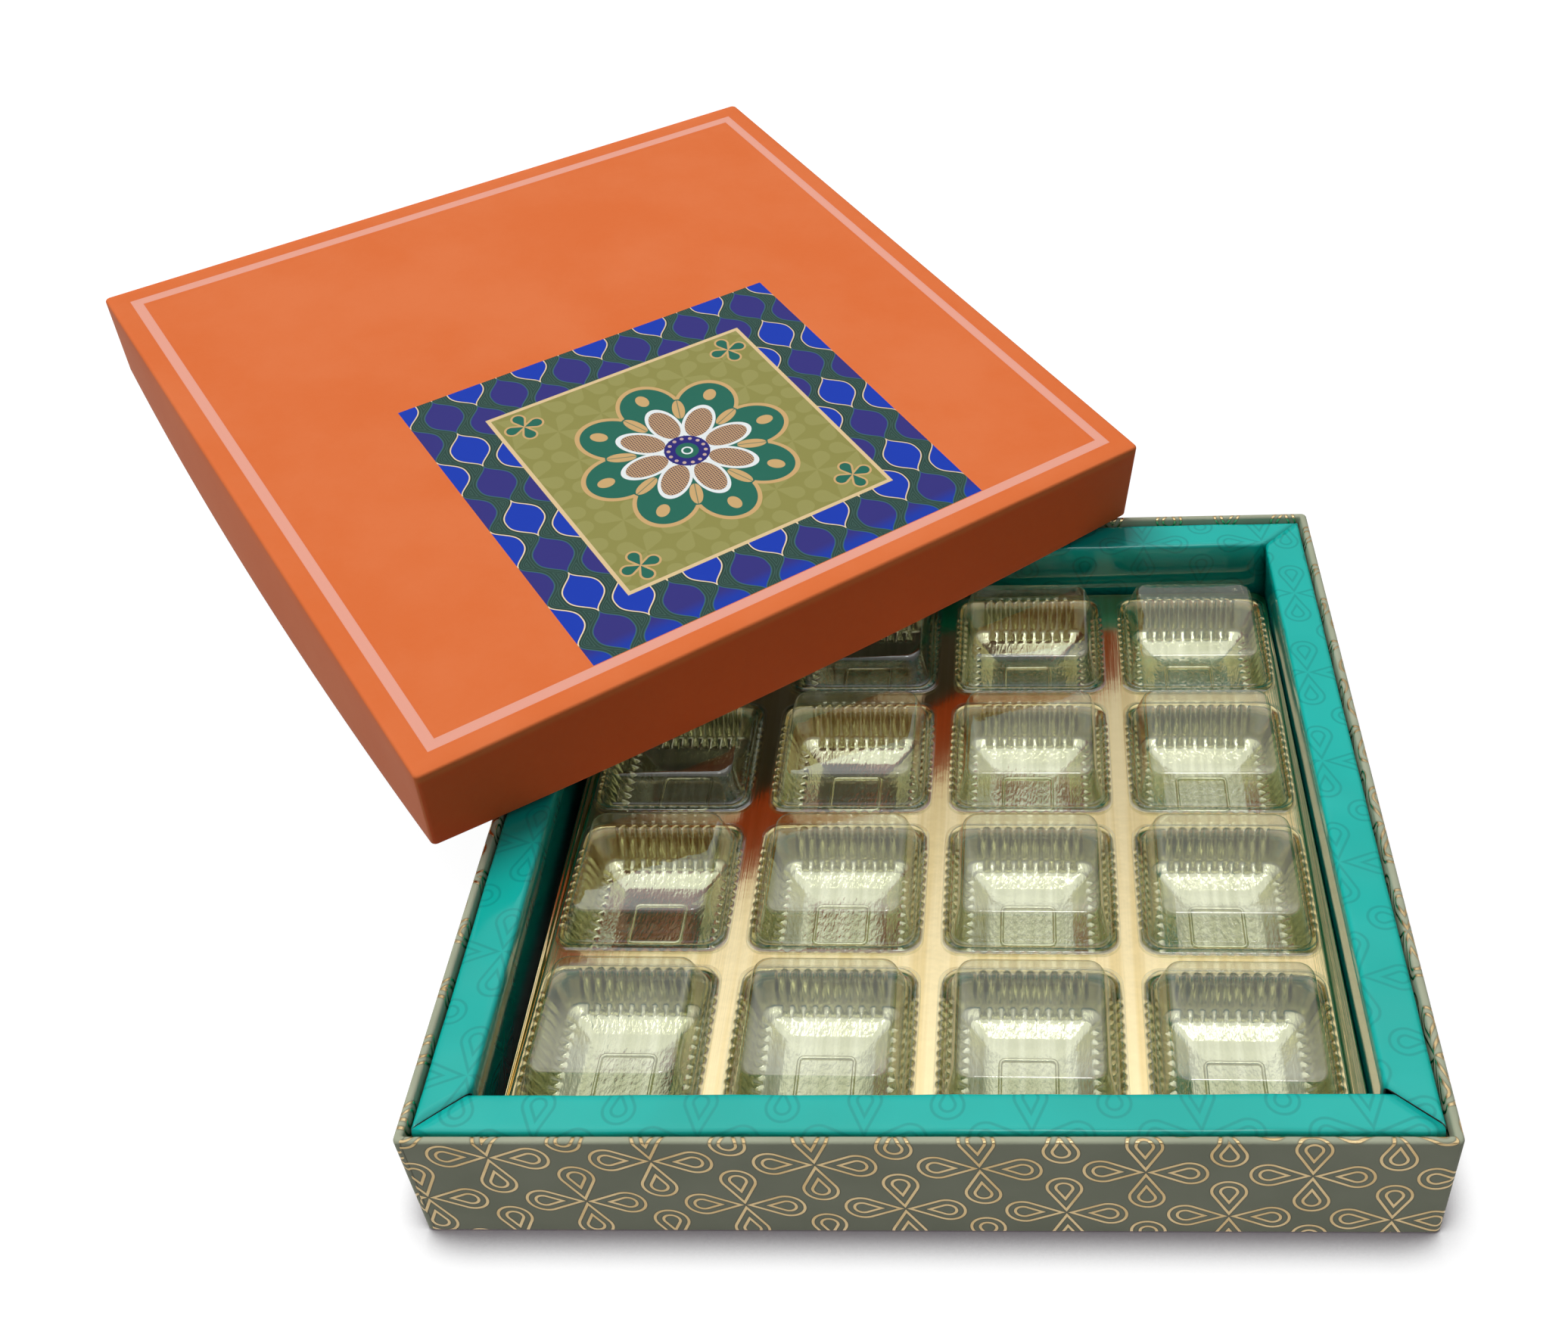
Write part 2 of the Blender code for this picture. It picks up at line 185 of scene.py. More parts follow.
def square_ring(half, corner, bow=0.0, per_side=40, per_corner=6):
    """A rounded square from its front left corner, anticlockwise; its sides swell by bow."""
    straight = half - corner
    points = []
    for side in range(4):
        turn = spin(side * pi / 2)
        for step in range(per_side + 1):
            along = 2 * step / per_side - 1
            points.append(turn @ (straight * along, -half - bow * (1 - along * along)))
        for step in range(1, per_corner):
            angle = pi / 2 * step / per_corner - pi / 2
            points.append(turn @ (straight + corner * cos(angle), -straight + corner * sin(angle)))
    return np.array(points)


def ring_run(half, corner, per_side=40, per_corner=6):
    """How far round each point of such a ring is on the sharp square, and the end of the round."""
    straight = half - corner
    run = []
    for side in range(4):
        start = 2 * half * side
        run += [start + straight * (2 * step / per_side - 1) for step in range(per_side + 1)]
        run += [start + straight + 2 * corner * step / per_corner for step in range(1, per_corner)]
    return run + [2 * half * 4 - straight]


def level_ring(ring, level):
    return np.column_stack([ring, np.full(len(ring), level)])


def arc(centre, middle, radius, start, end, steps):
    turns = [start + (end - start) * step / steps for step in range(steps + 1)]
    return [(centre + radius * cos(turn), middle + radius * sin(turn)) for turn in turns]


def path_lengths(profile):
    lengths = [0.0]
    for (a, b), (c, d) in zip(profile, profile[1:]):
        lengths.append(lengths[-1] + hypot(c - a, d - b))
    return lengths


def fill_between(skin, outer, holes):
    """Triangles that fill a flat outline around its holes, facing up."""
    loops = [outer] + holes
    numbers = [number for loop in loops for number in loop]
    flat = [Vector(skin.points[number][:2]) for number in numbers]
    outline, *hole_paths = [
        np.array([skin.points[number][:2] for number in loop]) for loop in loops
    ]
    edges = []
    start = 0
    for loop in loops:
        edges += [(start + i, start + (i + 1) % len(loop)) for i in range(len(loop))]
        start += len(loop)
    faces = delaunay_2d_cdt(flat, edges, [], 0, 1e-5)[2]
    for face in faces:
        middle = np.mean([flat[i] for i in face], axis=0)
        if any(in_loop(middle, path) for path in hole_paths) or not in_loop(middle, outline):
            continue
        corners = [numbers[i] for i in face]
        a, b, c = (flat[i] for i in face[:3])
        if (b - a).cross(c - a) <= 0:
            corners.reverse()
        skin.face(corners)


def in_loop(point, path):
    x, y = point
    following = np.roll(path, -1, axis=0)
    crosses = (path[:, 1] > y) != (following[:, 1] > y)
    step = following - path
    with np.errstate(divide="ignore", invalid="ignore"):
        at = path[:, 0] + (y - path[:, 1]) * step[:, 0] / step[:, 1]
    return bool(np.count_nonzero(crosses & (x < at)) % 2)


# Materials

class Graph:
    """Nodes of a new material or world, with short calls for the sums of its patterns."""

    def __init__(self, name, world=False):
        self.owner = (bpy.data.worlds if world else bpy.data.materials).new(name)
        self.owner.use_nodes = True
        self.tree = self.owner.node_tree
        self.tree.nodes.clear()
        self.output = self.add("ShaderNodeOutputWorld" if world else "ShaderNodeOutputMaterial")

    def feed(self, socket, value):
        if isinstance(value, bpy.types.NodeSocket):
            self.tree.links.new(value, socket)
        elif isinstance(value, tuple) and len(value) == 3 and socket.type == "RGBA":
            socket.default_value = (*value, 1.0)
        else:
            socket.default_value = value

    def add(self, kind, inputs=None, **settings):
        node = self.tree.nodes.new(kind)
        for key, value in settings.items():
            setattr(node, key, value)
        for key, value in (inputs or {}).items():
            self.feed(node.inputs[key], value)
        return node

    def sum(self, operation, *values):
        node = self.add("ShaderNodeMath", operation=operation)
        for socket, value in zip(node.inputs, values):
            self.feed(socket, value)
        return node.outputs[0]

    def mix(self, factor, first, second):
        """A colour between two."""
        inputs = {0: factor, 6: first, 7: second}
        return self.add("ShaderNodeMix", inputs, data_type="RGBA").outputs[2]

    def between(self, factor, first, second):
        """A number between two."""
        inputs = {0: factor, 2: first, 3: second}
        return self.add("ShaderNodeMix", inputs, data_type="FLOAT").outputs[0]

    def choose(self, factor, first, second):
        """The first shader where factor is 0 and the second where it is 1."""
        return self.add("ShaderNodeMixShader", {0: factor, 1: first, 2: second}).outputs[0]

    def step(self, value, low, high):
        """0 at low, 1 at high, smooth between; low may be the larger."""
        node = self.add("ShaderNodeMapRange", {0: value}, interpolation_type="SMOOTHSTEP")
        ends = (low, high, 0.0, 1.0) if low < high else (high, low, 1.0, 0.0)
        for socket, end in zip(list(node.inputs)[1:5], ends):
            socket.default_value = end
        return node.outputs[0]

    def line(self, distance, middle, half, soft=0.06):
        """1 within half of the middle distance."""
        offset = self.sum("ABSOLUTE", self.sum("SUBTRACT", distance, middle))
        return self.step(offset, half + soft, half - soft)

    def noise(self, vector, scale, detail, roughness=0.5):
        inputs = {"Vector": vector, "Scale": scale, "Detail": detail, "Roughness": roughness}
        return self.add("ShaderNodeTexNoise", inputs).outputs["Fac"]

    def stretch(self, vector, scale):
        return self.add("ShaderNodeMapping", {"Vector": vector, "Scale": scale}).outputs[0]

    def bump(self, height, distance, strength, normal=None):
        inputs = {"Height": height, "Distance": distance, "Strength": strength}
        if normal is not None:
            inputs["Normal"] = normal
        return self.add("ShaderNodeBump", inputs).outputs[0]

    def split(self, vector):
        return self.add("ShaderNodeSeparateXYZ", {"Vector": vector}).outputs

    def shader(self, **inputs):
        spaced = {key.replace("_", " "): value for key, value in inputs.items()}
        self.end(self.add("ShaderNodeBsdfPrincipled", spaced).outputs[0])

    def end(self, shader):
        self.feed(self.output.inputs[0], shader)

    def place(self):
        """The object's own coordinates, in metres."""
        return self.add("ShaderNodeTexCoord").outputs["Object"]

    def print_place(self):
        """The place on the flat printed sheet, in millimetres, as two numbers."""
        u, v, _ = self.split(self.add("ShaderNodeUVMap", uv_map="print").outputs[0])
        return u, v

    def clouded(self, tones, scale, detail, roughness=0.5):
        """Two tones of a colour in soft clouds."""
        cloud = self.noise(self.place(), scale, detail, roughness)
        return self.mix(self.step(cloud, 0.3, 0.7), *tones)


def wrapped(g, value, start, period):
    """Distance from the nearest of a row of places, signed."""
    shifted = g.sum("ADD", g.sum("SUBTRACT", value, start), period / 2)
    return g.sum("SUBTRACT", g.sum("FLOORED_MODULO", shifted, period), period / 2)


def squares(g, x, y):
    return g.sum("ADD", g.sum("MULTIPLY", x, x), g.sum("MULTIPLY", y, y))


def flower(g, x, y, radius, reach):
    """Distance from the outline of a flower of four drop petals, less than 0 inside.

    A petal is a cone from the origin with a round end of the given radius about its reach."""
    sine = radius / reach
    cosine = (1 - sine * sine) ** 0.5
    flat_x = g.sum("ABSOLUTE", x)
    flat_y = g.sum("ABSOLUTE", y)
    along = g.sum("MAXIMUM", flat_x, flat_y)
    across = g.sum("MINIMUM", flat_x, flat_y)
    past = g.sum("SUBTRACT", along, reach)
    round_end = g.sum("SUBTRACT", g.sum("SQRT", squares(g, across, past)), radius)
    cone = g.sum("SUBTRACT", g.sum("MULTIPLY", across, cosine), g.sum("MULTIPLY", along, sine))
    side = g.sum("ADD", g.sum("MULTIPLY", across, sine), g.sum("MULTIPLY", along, cosine))
    is_round = g.sum("GREATER_THAN", side, cosine * reach)
    return g.between(is_round, cone, round_end)


def turned(g, x, y, turn):
    along = g.sum("ADD", g.sum("MULTIPLY", x, cos(turn)), g.sum("MULTIPLY", y, sin(turn)))
    across = g.sum("SUBTRACT", g.sum("MULTIPLY", y, cos(turn)), g.sum("MULTIPLY", x, sin(turn)))
    return along, across


# Staggered flowers: the pitch in a row, the rows' distance, a petal's end radius and its reach
SAGE_FLOWERS = (31.8, 14.4, 3.75, 8.45)
CARD_FLOWERS = (32.2, 16.1, 3.6, 8.8)
PANEL_FLOWERS = (19.7, 8.74, 2.33, 5.24)


def flowers(g, x, y, pitch, row, radius, reach):
    """Distance from the outlines of staggered rows of flowers, one of them at the origin."""
    first = flower(g, wrapped(g, x, 0.0, pitch), wrapped(g, y, 0.0, 2 * row), radius, reach)
    second_x = wrapped(g, x, pitch / 2, pitch)
    second = flower(g, second_x, wrapped(g, y, row, 2 * row), radius, reach)
    return g.sum("MINIMUM", first, second)


LINES_MIDDLE = 1.25
LINES_APART = 0.85


def double_outline(g, distance, half, soft=0.06):
    """An outer line along the petal's edge and an inner one beside it."""
    centred = g.sum("ABSOLUTE", g.sum("ADD", distance, LINES_MIDDLE))
    return g.line(centred, LINES_APART, half, soft)


def paper_grain(g):
    place = g.place()
    fine = g.noise(place, 1400.0, 2.0)
    broad = g.noise(place, 90.0, 3.0)
    return g.bump(g.sum("ADD", fine, broad), 0.00003, 0.5)


SAGE = ((0.345, 0.370, 0.260), (0.400, 0.425, 0.305))
SAGE_FLOWER_PLACE = (-20.47, 23.3)
SAGE_TURN = radians(-2.15)
SAGE_LEAN = 0.104
SEAM_PLACE = -100.2


def sage_paper():
    """Matte sage paper with foil outlines pressed in, painted shade beside them, and a seam at the
    front left corner.
    """
    g = Graph("sage paper with foil")
    u, v = g.print_place()
    x = g.sum("SUBTRACT", u, SAGE_FLOWER_PLACE[0])
    y = g.sum("SUBTRACT", v, SAGE_FLOWER_PLACE[1])
    along, across = turned(g, x, y, SAGE_TURN)
    leaning = g.sum("ADD", along, g.sum("MULTIPLY", across, SAGE_LEAN))
    distance = flowers(g, leaning, across, *SAGE_FLOWERS)
    foil = double_outline(g, distance, 0.29)
    # Painted shade: a darker band beside the pressed foil outlines.
    foil_painted_shade = double_outline(g, distance, 0.50, 0.12)
    sage = g.clouded(SAGE, 60.0, 4.0)
    seam = g.line(u, SEAM_PLACE, 0.14)
    sage = g.mix(g.sum("MULTIPLY", seam, 0.6), sage, (0.05, 0.045, 0.03))
    ground = g.mix(g.sum("MULTIPLY", foil_painted_shade, 0.45), sage, (0.13, 0.10, 0.05))
    patches = g.step(g.noise(g.place(), 130.0, 2.0), 0.35, 0.65)
    gold = g.mix(patches, (0.62, 0.45, 0.22), (0.72, 0.55, 0.30))
    g.shader(
        Base_Color=g.mix(foil, ground, gold), Metallic=foil,
        Roughness=g.between(foil, 0.62, 0.24), Normal=g.bump(foil, 0.00005, 0.8, paper_grain(g)),
    )
    return g.owner


def plain_sage():
    g = Graph("sage paper plain")
    g.shader(Base_Color=g.clouded(SAGE, 60.0, 4.0), Roughness=0.65, Normal=paper_grain(g))
    return g.owner


def teal_card():
    """Glossy printed card with faint flowers in its own tone; painted shade darkens its inner walls
    downwards.
    """
    g = Graph("teal card")
    u, v = g.print_place()
    outline = double_outline(g, flowers(g, u, v, *CARD_FLOWERS), 0.30, 0.16)
    teal = g.clouded(((0.001, 0.435, 0.375), (0.003, 0.480, 0.420)), 35.0, 3.0)
    colour = g.mix(g.sum("MULTIPLY", outline, 0.55), teal, (0.001, 0.275, 0.245))
    height = g.split(g.place())[2]
    # Painted shade: below the shelf the inner walls are darkened towards deep teal.
    painted_shade_below_shelf = g.step(height, (SHELF_TOP - 1.0) * MM, 0.021)
    colour = g.mix(g.sum("MULTIPLY", painted_shade_below_shelf, 0.57), colour, (0.0, 0.05, 0.04))
    waves = g.bump(g.noise(g.place(), 24.0, 2.0), 0.0010, 0.30)
    g.shader(Base_Color=colour, Roughness=0.10, Normal=waves, Specular_IOR_Level=0.44)
    return g.owner


# The card's cut edges: partly their own tone, partly painted shade, so the mitre slits read dark.
def card_edge():
    g = Graph("card edge")
    grain = g.noise(g.place(), 900.0, 3.0)
    colour = g.mix(grain, (0.05, 0.075, 0.065), (0.10, 0.13, 0.115))
    g.shader(Base_Color=colour, Roughness=0.85)
    return g.owner


def grey_board():
    g = Graph("grey board")
    fibres = g.noise(g.stretch(g.place(), (900.0, 900.0, 300.0)), 1.0, 5.0, 0.7)
    flecks = g.step(g.noise(g.place(), 500.0, 2.0), 0.60, 0.72)
    ground = g.mix(fibres, (0.24, 0.23, 0.20), (0.42, 0.40, 0.36))
    colour = g.mix(g.sum("MULTIPLY", flecks, 0.5), ground, (0.16, 0.15, 0.13))
    g.shader(Base_Color=colour, Roughness=0.92, Normal=g.bump(fibres, 0.0001, 0.6))
    return g.owner


# The deck's gold is the sheet's own; the cavity wall and floor golds are painted shade of it.
DECK_GOLD = ((0.84, 0.67, 0.34), (0.94, 0.79, 0.46))
SHADED_WALL_GOLD = ((0.37, 0.385, 0.22), (0.52, 0.52, 0.33))
SHADED_FLOOR_GOLD = ((0.55, 0.57, 0.37), (0.75, 0.76, 0.56))


def gold_sheet():
    """Metallised plastic sheet: bright, with fine lines along it and grained floors; painted shade
    makes its cavities greyer and darker than the deck, their walls darker than their floors.
    """
    g = Graph("gold sheet")
    place = g.place()
    across, along, height = g.split(place)
    from_middle = g.sum("MAXIMUM", g.sum("ABSOLUTE", across), g.sum("ABSOLUTE", along))
    under_deck = g.step(height, (DECK_TOP - 0.7) * MM, (DECK_TOP - 2.3) * MM)
    inside_border = g.step(from_middle, (DECK_HALF - 0.1) * MM, (DECK_HALF - 0.6) * MM)
    in_cell = g.sum("MULTIPLY", under_deck, inside_border)
    low = g.step(height, (FLOOR_LEVEL + 5.3) * MM, (FLOOR_LEVEL + 2.3) * MM)
    lines = g.noise(g.stretch(place, (2400.0, 24.0, 30.0)), 1.0, 3.0, 0.6)
    streaks = g.noise(g.stretch(place, (420.0, 9.0, 12.0)), 1.0, 2.0, 0.5)
    grain = g.noise(g.stretch(place, (1300.0, 500.0, 900.0)), 1.0, 2.0)
    dents = g.noise(place, 260.0, 2.0)
    deck = g.mix(g.step(streaks, 0.35, 0.65), *DECK_GOLD)
    wall = g.mix(g.step(streaks, 0.25, 0.75), *SHADED_WALL_GOLD)
    floor = g.mix(g.step(streaks, 0.2, 0.8), *SHADED_FLOOR_GOLD)
    cell = g.mix(low, wall, floor)
    # Painted shade: the cavities take the darker, greyer golds, and their walls are darker still.
    colour = g.mix(g.sum("MULTIPLY", in_cell, 0.9), deck, cell)
    line_bump = g.bump(lines, 0.00006, 0.55)
    grain_bump = g.bump(g.sum("MULTIPLY", grain, low), 0.00020, 0.8, line_bump)
    dent_bump = g.bump(dents, 0.00015, 0.22, grain_bump)
    rough = g.between(in_cell, 0.15, 0.19)
    g.shader(Base_Color=colour, Metallic=1.0, Roughness=rough, Normal=dent_bump)
    return g.owner


def clear_sheet():
    """Clear formed sheet, which lets light through and shines more at a grazing look."""
    g = Graph("clear sheet")
    ripple = g.bump(g.noise(g.place(), 300.0, 2.0), 0.00012, 0.25)
    grazing = g.add("ShaderNodeLayerWeight", {"Blend": 0.5, "Normal": ripple}).outputs["Facing"]
    gloss_share = g.sum("ADD", 0.14, g.sum("MULTIPLY", 0.78, g.sum("POWER", grazing, 3.6)))
    clear = g.add("ShaderNodeBsdfTransparent", {"Color": (0.965, 0.985, 0.965)}).outputs[0]
    gloss_inputs = {"Color": (1.0, 1.0, 1.0), "Roughness": 0.06, "Normal": ripple}
    gloss = g.add("ShaderNodeBsdfGlossy", gloss_inputs).outputs[0]
    g.end(g.choose(gloss_share, clear, gloss))
    return g.owner


# Lid print, in millimetres from the lid's front left corner
PANEL = (48.3, 8.6, 161.6, 117.4)
INNER = (66.2, 24.4, 144.4, 102.1)
STRIPE_IN = 5.6
STRIPE_WIDTH = 2.8
OGEE_X = 57.8
OGEE_Y = 93.7
OGEE_COLUMN = 18.9
OGEE_ROW = 15.56
OGEE_HALF = 4.93
OGEE_BEND = 1.35
OGEE_SLOPE = 1.2
OGEE_WAVES = 0.62
CORNER_BLOSSOM = (31.5, 31.3)

# Ellipses of the rosette: how far out the middle lies, half length and half width
LOBE = (20.0, 9.0, 7.6)
LEAF = (17.2, 3.9, 1.7)
BUD = (24.0, 2.4, 1.7)
PETAL = (12.0, 7.4, 4.3)
DOT = (4.9, 0.52, 0.52)

GOLD = (0.66, 0.43, 0.19)
TEAL = (0.025, 0.150, 0.105)
WHITE = (0.86, 0.90, 0.90)


def inside_box(g, u, v, box):
    """Distance to the nearest side of a box, more than 0 inside it."""
    left, front, right, back = box
    first = g.sum("MINIMUM", g.sum("SUBTRACT", u, left), g.sum("SUBTRACT", right, u))
    second = g.sum("MINIMUM", g.sum("SUBTRACT", v, front), g.sum("SUBTRACT", back, v))
    return g.sum("MINIMUM", first, second)


def ogee_cell(g, u, v, start_u, start_v):
    """Distance from the outline of the ogee cell around a place, less than 0 inside, and 1 for
    the cells of every second row."""
    x = g.sum("ABSOLUTE", wrapped(g, u, start_u, OGEE_COLUMN))
    y = wrapped(g, v, start_v, OGEE_ROW)
    share = g.sum("POWER", g.sum("DIVIDE", g.sum("ABSOLUTE", y), OGEE_ROW / 2), OGEE_BEND)
    swing = g.sum("ADD", g.sum("COSINE", g.sum("MULTIPLY", share, pi)), 1.0)
    width = g.sum("MULTIPLY", swing, OGEE_HALF / 2)
    slope = g.sum("MULTIPLY", g.sum("SINE", g.sum("MULTIPLY", share, pi)), OGEE_SLOPE)
    lean = g.sum("SQRT", g.sum("ADD", 1.0, g.sum("MULTIPLY", slope, slope)))
    distance = g.sum("DIVIDE", g.sum("SUBTRACT", x, width), lean)
    row = wrapped(g, v, start_v, 2 * OGEE_ROW)
    bright = g.sum("LESS_THAN", g.sum("ABSOLUTE", row), OGEE_ROW / 2)
    return distance, bright


def ogee_print(g, u, v):
    """The panel's border: staggered ogee cells on waves that follow them; also where it is gilt."""
    half_column, half_row = OGEE_COLUMN / 2, OGEE_ROW / 2
    first, first_bright = ogee_cell(g, u, v, OGEE_X, OGEE_Y)
    second, second_bright = ogee_cell(g, u, v, OGEE_X + half_column, OGEE_Y - half_row)
    nearer = g.sum("LESS_THAN", second, first)
    bright = g.between(nearer, first_bright, second_bright)
    distance = g.sum("MINIMUM", first, second)
    waves = g.sum("SINE", g.sum("MULTIPLY", distance, 2 * pi / OGEE_WAVES))
    band = g.mix(g.step(waves, 0.35, 0.9), (0.030, 0.068, 0.056), (0.058, 0.120, 0.100))
    near_edge = g.step(v, 14.5, 9.5)
    violet = g.mix(near_edge, (0.042, 0.038, 0.215), (0.016, 0.052, 0.420))
    fill = g.mix(bright, violet, (0.015, 0.052, 0.460))
    inside = g.step(distance, 0.06, -0.06)
    colour = g.mix(inside, band, fill)
    thin = g.line(distance, 0.0, 0.09)
    colour = g.mix(g.sum("MULTIPLY", thin, 0.6), colour, (0.05, 0.20, 0.25))
    shadow = g.sum("MULTIPLY", g.line(distance, 0.28, 0.14, 0.08), bright)
    colour = g.mix(g.sum("MULTIPLY", shadow, 0.6), colour, (0.02, 0.02, 0.015))
    gilt = g.sum("MULTIPLY", g.line(distance, 0.0, 0.16), bright)
    colour = g.mix(gilt, colour, (0.84, 0.68, 0.44))
    return colour, gilt


def ellipse(g, x, y, centre, long, short):
    """Rough distance from an ellipse on the x axis, less than 0 inside."""
    a = g.sum("DIVIDE", g.sum("SUBTRACT", x, centre), long)
    b = g.sum("DIVIDE", y, short)
    reach = g.sum("SQRT", squares(g, a, b))
    return g.sum("MULTIPLY", g.sum("SUBTRACT", reach, 1.0), short)


def spokes(g, x, y, count, offset=0.0):
    """A place folded into one of count equal wedges about the origin, and its radius."""
    radius = g.sum("SQRT", squares(g, x, y))
    angle = wrapped(g, g.sum("ARCTAN2", y, x), offset, 2 * pi / count)
    along = g.sum("MULTIPLY", radius, g.sum("COSINE", angle))
    across = g.sum("MULTIPLY", radius, g.sum("SINE", angle))
    return along, across, radius


def medallion(g, u, v):
    """An olive ground with faint blossoms, and an eight-petal rosette with corner blossoms."""

    def fill(colour, distance, paint, grow=0.0):
        """Paint where the distance is less than grow."""
        return g.mix(g.step(distance, grow + 0.05, grow - 0.05), colour, paint)

    x = g.sum("SUBTRACT", u, (INNER[0] + INNER[2]) / 2)
    y = g.sum("SUBTRACT", v, (INNER[1] + INNER[3]) / 2)
    along, across = turned(g, x, y, radians(45))
    blossom = flowers(g, along, across, *PANEL_FLOWERS)
    faint = g.sum("MULTIPLY", g.step(blossom, 0.15, -0.15), 0.5)
    colour = g.mix(faint, (0.300, 0.285, 0.085), (0.385, 0.365, 0.135))

    petal_x, petal_y, radius = spokes(g, x, y, 8)
    leaf_x, leaf_y, _ = spokes(g, x, y, 8, pi / 8)
    petal_lobe = ellipse(g, petal_x, petal_y, *LOBE)
    lobes = g.sum("MINIMUM", g.sum("SUBTRACT", radius, 21.5), petal_lobe)
    colour = fill(colour, lobes, GOLD, 1.1)
    colour = fill(colour, lobes, TEAL)
    vein = g.sum("MULTIPLY", g.line(leaf_y, 0.0, 0.14), 0.7)
    colour = fill(colour, ellipse(g, leaf_x, leaf_y, *LEAF), g.mix(vein, GOLD, TEAL))
    colour = fill(colour, ellipse(g, petal_x, petal_y, *BUD), GOLD)

    petal = ellipse(g, petal_x, petal_y, *PETAL)
    mesh_a = g.sum("SINE", g.sum("MULTIPLY", g.sum("ADD", x, y), 4.6))
    mesh_b = g.sum("SINE", g.sum("MULTIPLY", g.sum("SUBTRACT", x, y), 4.6))
    net = g.step(g.sum("MULTIPLY", mesh_a, mesh_b), 0.10, 0.35)
    lace = g.mix(net, (0.56, 0.36, 0.20), (0.075, 0.040, 0.060))
    colour = fill(colour, petal, WHITE)
    colour = fill(colour, petal, lace, -0.8)

    colour = fill(colour, radius, (0.030, 0.025, 0.190), 6.05)
    dot_x, dot_y, _ = spokes(g, x, y, 14)
    colour = fill(colour, ellipse(g, dot_x, dot_y, *DOT), (0.62, 0.45, 0.38))
    colour = fill(colour, radius, TEAL, 3.05)
    colour = g.mix(g.line(radius, 1.3, 0.25), colour, WHITE)

    corner_x = g.sum("SUBTRACT", g.sum("ABSOLUTE", x), CORNER_BLOSSOM[0])
    corner_y = g.sum("SUBTRACT", g.sum("ABSOLUTE", y), CORNER_BLOSSOM[1])
    rosette = flower(g, corner_x, corner_y, 1.58, 3.55)
    colour = fill(colour, rosette, GOLD, 0.5)
    return fill(colour, rosette, TEAL, -0.07)


def orange_paper():
    """Matte orange paper with a pink line, and a printed panel on the lid's top; the front wall is
    painted a deeper red as shade.
    """
    g = Graph("orange paper printed")
    u, v = g.print_place()
    orange = g.clouded(((0.785, 0.172, 0.044), (0.815, 0.202, 0.064)), 25.0, 5.0, 0.6)
    # Painted shade: the front wall's orange is deepened and reddened.
    past_side = g.sum("MINIMUM", u, g.sum("SUBTRACT", 2 * LID_HALF, u))
    front_wall_painted_shade = g.sum("MULTIPLY", g.step(v, -0.4, -2.5), g.sum("LESS_THAN", v, past_side))
    orange = g.mix(g.sum("MULTIPLY", front_wall_painted_shade, 0.9), orange, (0.800, 0.115, 0.025))
    speck = g.noise(g.place(), 700.0, 2.0)
    orange = g.mix(g.sum("MULTIPLY", speck, 0.08), orange, (0.85, 0.28, 0.12))
    edge = inside_box(g, u, v, (0.0, 0.0, 2 * LID_HALF, 2 * LID_HALF))
    stripe = g.line(edge, STRIPE_IN + STRIPE_WIDTH / 2, STRIPE_WIDTH / 2)
    colour = g.mix(stripe, orange, (0.880, 0.400, 0.300))
    panel = g.step(inside_box(g, u, v, PANEL), -0.06, 0.06)
    border, gilt = ogee_print(g, u, v)
    colour = g.mix(panel, colour, border)
    inner = inside_box(g, u, v, INNER)
    colour = g.mix(g.step(inner, -0.05, 0.05), colour, (0.80, 0.60, 0.33))
    colour = g.mix(g.step(inner, 1.05, 1.15), colour, medallion(g, u, v))
    outside_inner = g.step(inner, 0.05, -0.05)
    shine = g.sum("MULTIPLY", g.sum("MULTIPLY", gilt, panel), outside_inner)
    g.shader(
        Base_Color=colour, Metallic=g.sum("MULTIPLY", shine, 0.55),
        Roughness=g.between(shine, 0.50, 0.30), Normal=g.bump(shine, 0.00004, 0.6, paper_grain(g)),
        Specular_IOR_Level=0.10,
    )
    return g.owner


# Wrapped shells

FLAT_EDGE = 3.0
RIM = 0.7
BASE_FOLD = 0.5
LID_FOLD = 0.8
WRAP_CORNER = 1.4
INNER_CORNER = 0.3


def wrap_profile(half, height, fold):
    """From the edge of the flat out, up the wall, over the rim and down inside to the end."""
    profile = [(half - FLAT_EDGE, 0.0)]
    profile += arc(half - fold, fold, fold, -pi / 2, 0, 4)
    top = height - RIM
    profile += [(half, fold + (top - fold) * step / 6) for step in range(1, 6)]
    profile += arc(half - RIM, top, RIM, 0, pi / 2, 4)
    inner = half - WALL
    profile += arc(inner + RIM, top, RIM, pi / 2, pi, 4)
    profile += [(inner, top - 5.0), (inner, height - TURN_IN)]
    return profile


def wrap_corner(half, outer):
    """The corner's radius, which is smaller inside the wall."""
    inset = max(0.0, outer - half)
    return max(INNER_CORNER, WRAP_CORNER - (WRAP_CORNER - INNER_CORNER) * inset / WALL)


def base_wrap(material, plain):
    """The wall's print runs round the base, with its height from the foot as its second number."""
    skin = Skin()
    profile = wrap_profile(BASE_HALF, BASE_HEIGHT, BASE_FOLD)
    lengths = path_lengths(profile)
    foot = lengths[5]
    run = ring_run(BASE_HALF, WRAP_CORNER)
    points = []
    flat = []
    for (half, level), length in zip(profile, lengths):
        points.append(level_ring(square_ring(half, wrap_corner(half, BASE_HALF)), level))
        flat.append([(place, length - foot + BASE_FOLD) for place in run])
    rows = skin.sheet(points, flat, closed=True)
    skin.fan(rows[0], (0.0, 0.0, 0.0), look=1)
    mesh = skin.mesh("base_wrap_paper", [material, plain], 50)
    piece = show("base_wrap_paper", mesh, "base", ["base_wrap"])
    thicken(piece, PAPER)


